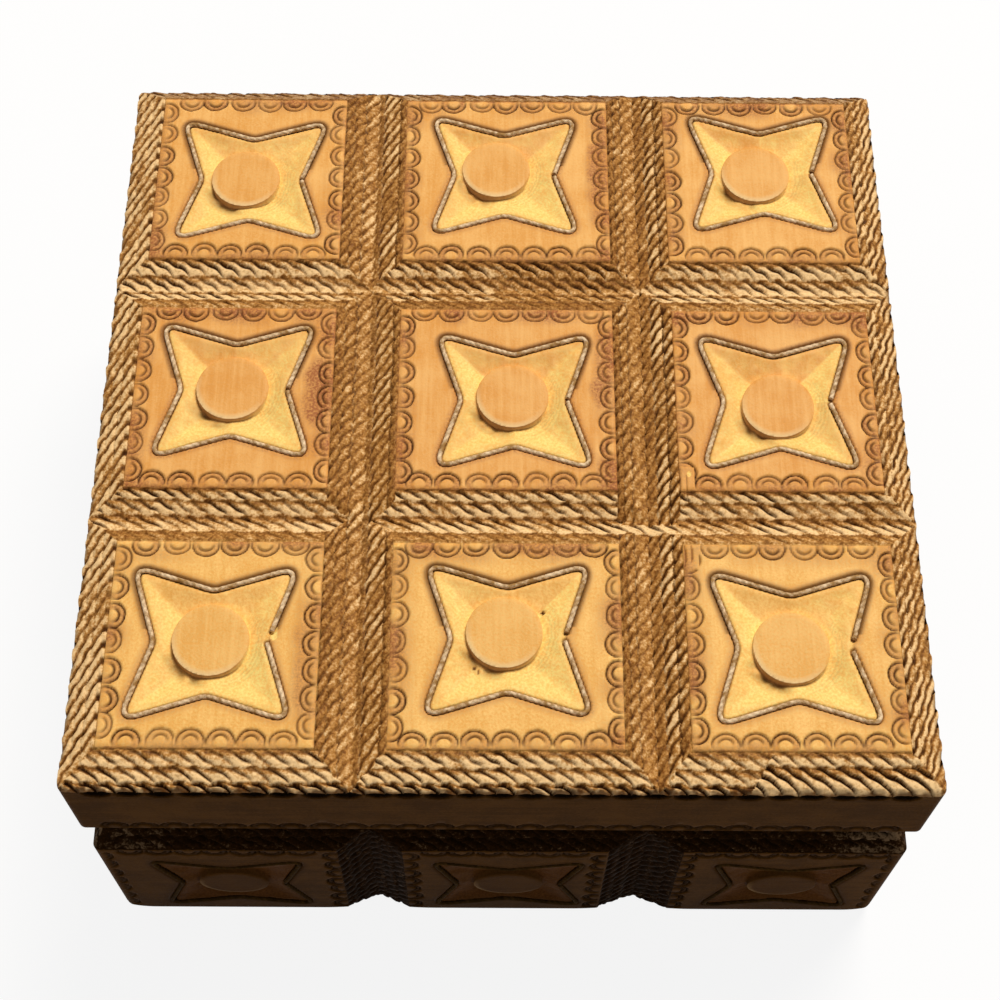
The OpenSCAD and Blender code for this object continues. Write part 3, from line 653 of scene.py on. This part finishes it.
def carve_side(name, side, heights, inner_steps, body, star_places=()):
    """Carves one side between two heights. Inner steps are the distance from the middle of the box, the
    lowest height there, and whether the hinge recesses reach it, of each layer behind the face."""
    columns = back_columns if side == 2 else side_columns
    mesh, s, z, layer = carving_blank(name, columns, heights, len(inner_steps))
    for centre in star_places:
        drawn = draw_to_disc(s, z, centre)
        s, z = np.where(layer == 0, drawn[0], s), np.where(layer == 0, drawn[1], z)
    # In a recess the rows of the grid are pressed together, away from the seam
    pressed = (side == 2) & (np.abs(np.abs(s) - recess_x) <= recess_half_w + 0.001)
    far_side, press_h = heights[0] if heights[0] < seam_h else heights[-1], 5
    low_z = z + recess_drop * np.sign(far_side - seam_h) * np.clip(1 - np.abs(z - seam_h) / press_h, 0, 1)
    z = np.where(pressed & (layer == 0), low_z, z)
    depth, wear = side_carving(s, z, side, star_places)
    turn = np.clip(np.abs(s) - flat_half, 0, None) / corner_r
    x = np.where(turn > 0, flat_half + corner_r * np.sin(turn), np.abs(s))
    y = flat_half + corner_r * np.cos(turn)
    # Towards the mitres the carving is drawn in, so that neighbours meet on the mitre
    mitre_from = 50
    drawn_in = np.clip((np.abs(s) - mitre_from) / (outline_half - mitre_from), 0, 1)
    x, y = x - depth * drawn_in, y - depth
    for number, (distance, lowest, recessed) in enumerate(inner_steps):
        here = layer == number + 1
        y = np.where(here, distance, y)
        behind = np.interp(np.abs(s), [0, mitre_from, outline_half], [0, mitre_from, distance])
        x = np.where(here, behind, x)
        z = np.where(here & pressed & recessed, low_z, z)
        z = np.where(here, np.maximum(z, lowest), z)
    # The feet are worn: the bottom edge rises at the corners of the box and beside the channels
    at_corner = np.clip((np.abs(s) - outline_half + foot_w) / foot_w, 0, 1)
    rise = foot_h * (1 - np.sqrt(1 - at_corner ** 2))
    for middle, width in side_channels:
        beside = np.clip(np.abs(s - middle) - width / 2, 0, None)
        rise = rise + channel_foot_h * np.clip(1 - beside / channel_foot_w, 0, 1) ** 2
    z = z + rise * np.clip(1 - z / foot_reach, 0, 1) * (layer == 0)
    discs = np.full_like(s, 9.0), np.full_like(s, 9.0)
    for centre in star_places:
        by = (np.abs(s - centre[0]) < 12) & (layer == 0)
        discs = np.where(by, s - centre[0], discs[0]), np.where(by, z - centre[1], discs[1])
    place_carving(mesh, np.stack([*turned(x * np.sign(s), -y, side), z], axis=1), wear, discs)
    # The carved face is stained, and the layers behind it and the back are bare
    materials = (shaded_side_woods[side % 2], bare_woods[side % 2], bare_woods[side % 2])
    add_piece(name, mesh, materials, body, name.replace("carved_", ""))


# Behind its face a wall has the rebate for the bottom board, the recesses for the hinges, and the inside
wall_heights = spaced([0.0, seam_h - groove_slope_h, seam_h], [0.3, 0.25])
for side, side_name in enumerate(SIDES):
    carve_side(
        f"carved_wall_{side_name}", side, wall_heights,
        [(rebate_half_w, 0.0, True), (rebate_half_w, bottom_t, True), (recess_end, bottom_t, True),
         (recess_end - 0.05, bottom_t, False), (inner_half_w, bottom_t, False)],
        "body", [(x, side_star_h) for x in side_star_x],
    )

# Rim of the lid. Four mitred strips of the same wood under the top board: a plain band with half-moon
# punch marks, and below it the upper slope of the groove with its rows of rope.
rim_top_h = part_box("lid_rim_front")[1].z / mm
# The grid is fine in the groove and in the marks above it, and coarse on the plain band
band_low_h, marks_h = seam_h + groove_slope_h, 3.0
rim_heights = spaced([seam_h, band_low_h, band_low_h + marks_h, rim_top_h], [0.25, 0.25, 1.5])
for side, side_name in enumerate(SIDES):
    carve_side(
        f"carved_lid_rim_{side_name}", side, rim_heights,
        [(recess_end, 0.0, True), (recess_end - 0.05, 0.0, False), (inner_half_w, 0.0, False)],
        "lid",
    )

# Top board of the lid. One board of the same wood, lighter in colour, carved into nine tiles between V
# channels that are punched as rows of rope. Each tile has half-moon marks round it, and a star with a
# disc left standing. It is made here as nine blocks that meet in the valleys of the channels.
ROWS = ["front", "middle", "back"]
top_h = 63.2
tile_rise = top_h - edge_h
edge_slopes = {"left": 4.9, "right": 4.5, "front": 5.7, "back": 2.9}
channels_x = [(-21.8, 9.9), (22.4, 9.1)]
channels_y = [(-20.0, 8.7), (22.4, 9.2)]
# The rows of rope in each channel: their edges, how strongly each is cut, and how bright its crests are,
# worn and painted lit
channel_rows_x = [
    (-27.0, -25.6, -23.7, -21.3, -20.6, -17.7, -16.6),
    (17.6, 18.6, 19.9, 22.2, 23.8, 25.7, 27.2),
]
channel_cuts_x = [(0.6, 0.6, 0.5, 0.6, 0.85, 0.5), (0.6, 0.6, 0.4, 0.6, 1.1, 1.0)]
channel_tones_x = [(0.6, 0.7, 0.95, 0.7, 0.95, 0.45), (0.5, 0.75, 0.85, 0.65, 1.1, 0.85)]
channel_seams_x = [0.5, 0.65]
channel_rows_y = [(-24.5, -22.5, -19.4, -17.15, -15.5), (17.6, 19.6, 21.5, 24.4, 27.2)]
# How far above and below its right-hand notch each wire starts and stops, and where each disc stands
lid_wire_ends = [
    (1.8, 0.1), (1.1, 0.3), (1.4, 0.6),
    (0.4, 0.2), (0.4, 0.2), (0.6, 0.3),
    (0.3, 0.2), (0.3, 0.2), (0.6, 0.2),
]
lid_discs = [
    (-43.0, -40.8), (0.2, -39.3), (42.5, -41.5),
    (-42.8, 2.4), (1.45, 1.25), (43.3, -0.2),
    (-43.4, 43.5), (-1.3, 45.8), (42.5, 45.2),
]
# The middle of each star, in the order of the wires
lid_stars = []
for row_name in ROWS:
    for column_name in COLUMNS:
        low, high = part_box(f"lid_wire_{row_name}_{column_name}")
        lid_stars.append(((low.x + high.x) / 2 / mm, (low.y + high.y) / 2 / mm))
tiles_x = stretches(-half_w + edge_slopes["left"], channels_x, half_w - edge_slopes["right"])
tiles_y = stretches(-half_w + edge_slopes["front"], channels_y, half_w - edge_slopes["back"])
block_x = [-half_w, *(middle for middle, _ in channels_x), half_w]
block_y = [-half_w, *(middle for middle, _ in channels_y), half_w]


def lid_ropes(x, y):
    """The ropes in the lid's borders and channels: how far each place rises to the tiles as a share,
    and how deep the ropes are cut there, how dark, and how bright their crests are"""
    left, right, front, back = (edge_slopes[k] for k in ("left", "right", "front", "back"))
    # Each cut: its rise to the tile as a share, how strongly it gives way where two cross, and its ropes.
    # The edges of the rows of rope are as measured on the photo
    cuts = []
    share = (x + half_w) / left
    cuts.append((share, share, ropes(x, y, [-half_w, -62.0, -60.5, -59.0], -2.0, 1, cut=0.85, tone=1.45)))
    share = (half_w - x) / right
    cuts.append((share, share, ropes(x, y, [59.0, 60.3, 61.5, half_w], -2.8, 5, cut=0.85, tone=1.25)))
    share = (y + half_w) / front
    # The front border changes near its right end to small strands over one row of long ones
    tile_edge = tiles_y[0][0]
    border = ropes(y, x, [-half_w, -62.2, -60.1, tile_edge], 1.55, 9, shingled=True,
                   cut=[1.9, 1.0, 1.0], tone=(0.95, 1.25, 1.25))
    border_end = ropes(y, x, [-half_w, -59.6, tile_edge], 1.4, 10, shingled=True, cut=[1.6, 0.9], tone=1.25)
    at_end = x > 37.5 + (y + 60) * 0.6
    from_edge = y + half_w
    depth, dark, crest = (np.where(at_end, *pair) for pair in zip(border_end, border))
    # Its edge is worn round, and painted black between the strands as painted shade
    depth = depth + 0.5 * (1 - fade(0, 1.0, from_edge))
    black_to = from_edge - 0.8 * (0.95 - crest) + 0.6 * rough(x, y, 1.1, 15)
    dark = np.maximum(dark, 0.9 * (1 - fade(0.1, 0.6, black_to)))
    cuts.append((share, share, (depth, dark, crest)))
    share = (half_w - y) / back
    back_edge = tiles_y[2][1] + 0.6
    depth, dark, crest = ropes(y, x, [back_edge, half_w], 1.5, 13, shingled=True, cut=0.5, tone=0.7)
    cuts.append((share, share, (depth, np.clip(dark + 0.4, 0, 1), crest)))
    # Where two channels cross, their ropes meet along a ragged edge
    torn = 0.2 * rough(x, y, 1.2, 17)
    for number, (middle, width) in enumerate(channels_x):
        share = np.abs(x - middle) / (width / 2)
        # At the front the left channel has one strand that runs on through the crossing. The right one
        # runs on too, but for one row of the cross channel that lies over it
        crossing = np.abs(y - channels_y[0][0]) < 4.6
        over = -0.35 if number == 0 else np.where((y > -20.7) | (y < -22.6), -0.9, 0.9)
        here = ropes(x, y, channel_rows_x[number], -1.8, 20 + 9 * number, cut=channel_cuts_x[number],
                     seam=channel_seams_x[number], tone=channel_tones_x[number], pitch=2.35)
        cuts.append((share, share + crossing * over + torn, here))
    for number, (middle, width) in enumerate(channels_y):
        share = np.abs(y - middle) / (width / 2)
        worn_and_lit = 1.1
        if number == 1:
            # The back channel's crests are brighter in its outer thirds, and darker right of its middle
            worn_and_lit = 0.85 + 0.4 * fade(20, 30, np.abs(x)) - 0.3 * (1 - fade(7, 13, np.abs(x - 9)))
        here = ropes(y, x, channel_rows_y[number], 1.55, 50 + 9 * number, shingled=True,
                     cut=(0.5, 0.85, 0.8, 1.0), tone=(0.5 * worn_and_lit, worn_and_lit, worn_and_lit, worn_and_lit))
        cuts.append((share, share, here))
    rise, keeper = np.ones_like(x), np.full(x.shape, 9.0)
    depth, dark, crest = (np.zeros_like(x) for _ in range(3))
    for share, hold, here in cuts:
        owns = (hold < keeper) & (share < 1.04)
        depth, dark, crest = (np.where(owns, *pair) for pair in zip(here, (depth, dark, crest)))
        keeper = np.where(owns, hold, keeper)
        rise = np.minimum(rise, share)
    return rise, depth, dark, crest


def lid_carving(x, y, column, row):
    """Height of the lid's carved top above the table, and its wear"""
    x0, x1 = tiles_x[column]
    y0, y1 = tiles_y[row]
    tile = 3 * row + column
    rise, depth, dark, crest = lid_ropes(x, y)
    # Two corners by the right channel were gouged clean of their marks
    bare = (x > 26.5) & (x < 29.5) & (np.abs(np.abs(y + 20.2) - 5.9) < 2.9)
    marks, marks_dark, stain = (
        mark * ~bare for mark in punched_frame(x, y, x0, x1, y0, y1, 2.8, 100 + 20 * tile))
    depth, dark = np.maximum(depth, marks), np.maximum(dark, marks_dark)
    cut, cut_dark, fresh, star_stain = star(
        x, y, lid_stars[tile], lid_discs[tile], lid_wire_ends[tile], 300 + tile)
    depth, dark, stain = np.maximum(depth, cut), np.maximum(dark, cut_dark), np.maximum(stain, star_stain)
    # Hands have worn the tiles' edges round, and dirt has stained the wood beside them
    inset = np.minimum(np.minimum(x - x0, x1 - x), np.minimum(y - y0, y1 - y))
    on_tile = rise >= 1
    depth = depth + on_tile * 0.22 * (1 - fade(0, 0.9, inset))
    grimy = np.minimum(np.minimum(x - x0 + 0.4, x1 - x), np.minimum(y - y0 + 1.8, y1 - y))
    dirt = (1 - fade(0.8, 5.5, grimy)) * np.clip(0.55 + 1.5 * rough(x, y, 4.0, 400 + tile), 0, 1)
    for place_x, place_y, wide, long, strength in lid_stains:
        spread = np.hypot((x - place_x) / wide, (y - place_y) / long) + 0.5 * rough(x, y, 2.5, 520)
        dirt = np.maximum(dirt, strength * (1 - fade(0.4, 1.2, spread)))
    dirt = np.maximum(dirt, 1 - fade(0.0, 0.6, inset + 0.4 * rough(x, y, 0.9, 500)))
    # The back rows are stained all over, and the front tiles are painted paler, as painted light that fell
    # more strongly on them
    all_over, paler = (0, 0.14, 0.1)[row], (0.3, 0.0, 0.08)[row]
    stain = np.where(on_tile, np.maximum(np.maximum(stain, 0.85 * dirt), all_over), 0)
    fresh = np.maximum(fresh, on_tile * paler * (1 - stain))
    for place_x, place_y, wide, long, deep, darker, fresher in lid_flaws:
        inside = np.hypot((x - place_x) / wide, (y - place_y) / long) < 1
        depth = depth + inside * deep
        dark, fresh = np.where(inside, darker, dark), np.where(inside, fresher, fresh)
    height = edge_h + tile_rise * np.clip(rise, 0, 1) - depth
    return height, np.stack([dark, fresh, crest, stain], axis=1)


# Brown stains on the tiles: where, their half widths, and how strong they are
lid_stains = [(-28.6, 1.5, 3.4, 8.0, 1.0), (16.2, 46.0, 2.6, 11.0, 0.9), (15.8, 4.0, 2.4, 8.0, 0.8),
              (7.0, -25.6, 11.0, 2.4, 0.9), (-29.0, -45.0, 2.4, 12.0, 0.7)]
# A chip at a wire's gap, a pin-hole, specks by a disc, and gouges in two bare patches: where, their half
# widths, and how deep, dark and fresh they are
lid_flaws = [
    (-33.7, -39.6, 0.5, 1.3, 0.1, 0.0, 1.0), (6.0, -35.7, 0.28, 0.28, 0.5, 1.0, 0.0),
    (-4.1, -44.6, 0.3, 0.3, 0.2, 0.9, 0.0), (-3.6, -45.3, 0.2, 0.35, 0.2, 0.8, 0.0),
    (27.3, -14.2, 0.14, 2.6, 0.2, 0.55, 0.0), (28.3, -14.8, 0.14, 2.0, 0.2, 0.55, 0.0),
    (28.7, -12.6, 0.3, 0.5, 0.1, 0.0, 1.0), (27.5, -26.6, 0.14, 1.9, 0.2, 0.55, 0.0),
    (28.5, -26.3, 0.14, 1.6, 0.2, 0.55, 0.0),
]
# The hollow tone is partly painted shade, the crest and rim tones are partly painted highlights, and the
# wall tone is painted shade
lid_tones = {
    "face": "#FFC678", "face dark": "#EAA654", "stain": "#AC6C40", "cut": "#FFE78E", "cut dark": "#FFCB6E",
    "rope": "#82501F", "rope mid": "#C08A48", "crest": "#FBD59C", "hollow": "#44240A",
    "rim": "#FFE0A8", "wall": "#A8703C",
}
lid_wood = carved_wood("waxed_lid_wood", lid_tones, grains["y"], 0.06)
# A block's sides go down to the rim in layers, here as shares of the way. They lie close together where
# the punch marks are
board_layers = [0.02] + [0.46 * k / 11 for k in range(1, 12)] + [0.5, 1.0]
for row, row_name in enumerate(ROWS):
    for column, column_name in enumerate(COLUMNS):
        tile = 3 * row + column
        # The grid is finest in the ropes and the punch marks
        marks_w, steps = 3, [0.16, 0.17, 0.24, 0.17, 0.16]
        (x0, x1), (y0, y1) = tiles_x[column], tiles_y[row]
        columns = spaced([block_x[column], x0, x0 + marks_w, x1 - marks_w, x1, block_x[column + 1]], steps)
        rows = spaced([block_y[row], y0, y0 + marks_w, y1 - marks_w, y1, block_y[row + 1]], steps)
        name = f"lid_top_board_{row_name}_{column_name}"
        mesh, x, y, layer = carving_blank(name, columns, rows, len(board_layers), smooth_layers=True)
        drawn = draw_to_disc(x, y, lid_discs[tile])
        x, y = np.where(layer == 0, drawn[0], x), np.where(layer == 0, drawn[1], y)
        z, wear = lid_carving(x, y, column, row)
        wear[layer > 0] = 0
        near = layer == 0
        discs = np.where(near, x - lid_discs[tile][0], 9.0), np.where(near, y - lid_discs[tile][1], 9.0)
        # The outer corners are worn round: the square corner is drawn in to an arc
        cx, cy = np.abs(x) - flat_half, np.abs(y) - flat_half
        corner = (cx > 0) & (cy > 0)
        reach = np.maximum(cx, cy)
        swing = np.where(cx >= cy, cy / np.maximum(cx, 1e-9), 2 - cx / np.maximum(cy, 1e-9)) * math.pi / 4
        round_x = np.where(corner, flat_half + reach * np.cos(swing), np.abs(x))
        round_y = np.where(corner, flat_half + reach * np.sin(swing), np.abs(y))
        x, y = np.sign(x) * round_x, np.sign(y) * round_y
        # Below the top, the outer sides have punch marks along their upper edge
        share = np.array([0.0] + board_layers)[layer]
        side_z = z + (rim_top_h - z) * share
        for side in range(4):
            along, inward = turned(x, y, -side)
            out = -inward
            here = (layer > 0) & (out > half_w - 0.01)
            depth, side_wear = side_carving(along, np.where(layer > 0, side_z, edge_h), side)
            # The gouge that made the half-moons cut into the top edge too, and the notches are painted dark
            # as painted shade
            notch = 0.35 * depth * near * (1 - fade(0, 1.3, half_w - out)) * (np.abs(along) < flat_half)
            wear[:, 0] = np.where(near, np.maximum(wear[:, 0], np.minimum(4 * notch, 1)), wear[:, 0])
            step_x, step_y = turned(0, here * depth + notch, side)
            x, y = x + step_x, y + step_y
            wear[here] = side_wear[here]
        z = np.where(layer > 0, side_z, z)
        place_carving(mesh, np.stack([x, y, z], axis=1), wear, discs)
        # The carved top is light, the outer sides are stained and painted in shade like the band, and the
        # underside is bare
        materials = (lid_wood, shaded_side_woods[row % 2], bare_woods[1])
        add_piece(name, mesh, materials, "lid", "lid_top_board")

# Wires. Two fine brass wires twisted together and hammered into a cut round each star. They have gone
# dull and dark between the twists.
wire_twist_l, ring_step, round_count = 1.1, 0.17, 8
# How high the wire's middle lies over the surface around it
wire_low = -0.14


def twisted_wire(name, node, ends, to_place, body, material):
    """One wire, bent round its star on a flat surface, whose places to_place turns into the box's"""
    run = wire_run(ends)
    steps = np.linalg.norm(np.diff(run, axis=0), axis=1)
    length_to = np.concatenate([[0], np.cumsum(steps)])
    ring_count = math.ceil(length_to[-1] / ring_step)
    bm = bmesh.new()
    bmesh.ops.create_grid(bm, x_segments=ring_count, y_segments=round_count, size=0.5)
    co = np.array([v.co for v in bm.verts])
    along, around = (co[:, 0] + 0.5) * length_to[-1], (co[:, 1] + 0.5) * 2 * math.pi
    px, py = np.interp(along, length_to, run[:, 0]), np.interp(along, length_to, run[:, 1])
    ahead, behind = np.minimum(along + 0.3, length_to[-1]), np.maximum(along - 0.3, 0)
    tx = np.interp(ahead, length_to, run[:, 0]) - np.interp(behind, length_to, run[:, 0])
    ty = np.interp(ahead, length_to, run[:, 1]) - np.interp(behind, length_to, run[:, 1])
    size = np.hypot(tx, ty)
    lobes = np.abs(np.cos(around + math.pi * along / wire_twist_l))
    radius = wire_r * (0.9 + 0.1 * lobes)
    out, up = radius * np.cos(around), radius * np.sin(around)
    places = to_place(px + out * ty / size, py - out * tx / size, wire_low + up)
    for vert, place in zip(bm.verts, places * mm):
        vert.co = place
    shade = bm.verts.layers.float_color.new("wear")
    for vert, lobe in zip(bm.verts, lobes):
        vert[shade] = (0.6 * (1 - lobe), 0, 0, 1)
    bmesh.ops.remove_doubles(bm, verts=bm.verts, dist=0.002 * mm)
    bmesh.ops.holes_fill(bm, edges=[e for e in bm.edges if e.is_boundary])
    bmesh.ops.recalc_face_normals(bm, faces=bm.faces)
    for face in bm.faces:
        face.smooth = len(face.verts) < 5
    mesh = bpy.data.meshes.new(name)
    bm.to_mesh(mesh)
    add_piece(name, mesh, [material], body, node)


# How wide a cloud of tarnish is in mm
tarnish_size = 1.6


def old_wire(name, paler, dull, hollow, gloss):
    """Old brass wire: a soft metal gone dull, tan where it is rubbed and dark brown where it isn't"""
    material, tree = new_tree(name)
    place = add(tree, "ShaderNodeTexCoord").outputs["Object"]
    paint = add(tree, "ShaderNodeAttribute", attribute_name="wear")
    twist = add(tree, "ShaderNodeSeparateColor", {0: paint.outputs["Color"]})
    tarnish = add(tree, "ShaderNodeTexNoise", {
        "Vector": place, "Scale": 1 / (tarnish_size * mm), "Detail": 5.0, "Roughness": 0.75})
    shown = add(tree, "ShaderNodeMapRange", {0: tarnish.outputs[0], "From Min": 0.4, "From Max": 0.6})
    metal = add(tree, "ShaderNodeMix", {0: shown.outputs[0], 6: dull, 7: paler}, data_type="RGBA")
    metal = add(tree, "ShaderNodeMix", {
        0: twist.outputs[0], 6: metal.outputs[2], 7: hollow}, data_type="RGBA")
    shader = add(tree, "ShaderNodeBsdfPrincipled",
                 {"Base Color": metal.outputs[2], "Roughness": 0.5, "Specular IOR Level": gloss})
    add(tree, "ShaderNodeOutputMaterial", {"Surface": shader.outputs[0]})
    return material


rubbed_wire = old_wire("rubbed_brass_wire", colour("#FFE4BC"), colour("#AC844C"), colour("#744C24"), 0.12)
# The wires in the sides are a darker copy of the same brass, painted in shade
shaded_wire = old_wire("shaded_brass_wire", colour("#553C1C"), colour("#3A2812"), colour("#241808"), 0.002)

for tile, (star_x, star_y) in enumerate(lid_stars):
    name = f"{ROWS[tile // 3]}_{COLUMNS[tile % 3]}"
    twisted_wire(
        f"lid_twisted_wire_{name}", f"lid_wire_{name}", lid_wire_ends[tile],
        lambda x, y, up: np.stack([star_x + x, star_y + y, top_h + up], axis=1), "lid", rubbed_wire,
    )
for side, side_name in enumerate(SIDES):
    for star_x, column_name in zip(side_star_x, COLUMNS):
        twisted_wire(
            f"twisted_wire_{side_name}_{column_name}", f"wire_{side_name}_{column_name}", side_wire_ends,
            lambda x, y, up: np.stack([*turned(star_x + x, -half_w - up, side), side_star_h + y], axis=1),
            "body", shaded_wire,
        )

# Bottom board. A plain sanded board of the same wood, glued into a rebate of the walls. Nobody stained
# it, so it is as pale as the inside.
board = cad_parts["bottom_board"]
board.data.materials.clear()
board.data.materials.append(bare_woods[0])

# Hinges. Two small brass butt hinges let into the back, with a leaf each in the rim and in the wall, a
# pin, and two countersunk screws in each leaf. The brass is yellow-brown with age.
def brass(name, tarnished, clean):
    """Rolled brass with age: yellow-brown, clouded where it was touched, with a soft sheen"""
    material, tree = new_tree(name)
    place = add(tree, "ShaderNodeTexCoord").outputs["Object"]
    tarnish = add(tree, "ShaderNodeTexNoise", {
        "Vector": place, "Scale": 1 / (tarnish_size * mm), "Detail": 6.0, "Roughness": 0.7})
    shown = add(tree, "ShaderNodeMapRange", {0: tarnish.outputs[0], "From Min": 0.3, "From Max": 0.62})
    metal = add(tree, "ShaderNodeMix", {0: shown.outputs[0], 6: tarnished, 7: clean}, data_type="RGBA")
    shader = add(tree, "ShaderNodeBsdfPrincipled", {
        "Base Color": metal.outputs[2], "Metallic": 0.9, "Roughness": 0.38})
    add(tree, "ShaderNodeOutputMaterial", {"Surface": shader.outputs[0]})
    return material


leaf_brass = brass("aged_leaf_brass", colour("#A07C3E"), colour("#C9A45A"))
screw_brass = brass("dark_screw_brass", colour("#5E4420"), colour("#8A6A34"))
for node_name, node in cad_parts.items():
    if "hinge" in node_name:
        node.data.materials.clear()
        node.data.materials.append(screw_brass if "screws" in node_name else leaf_brass)
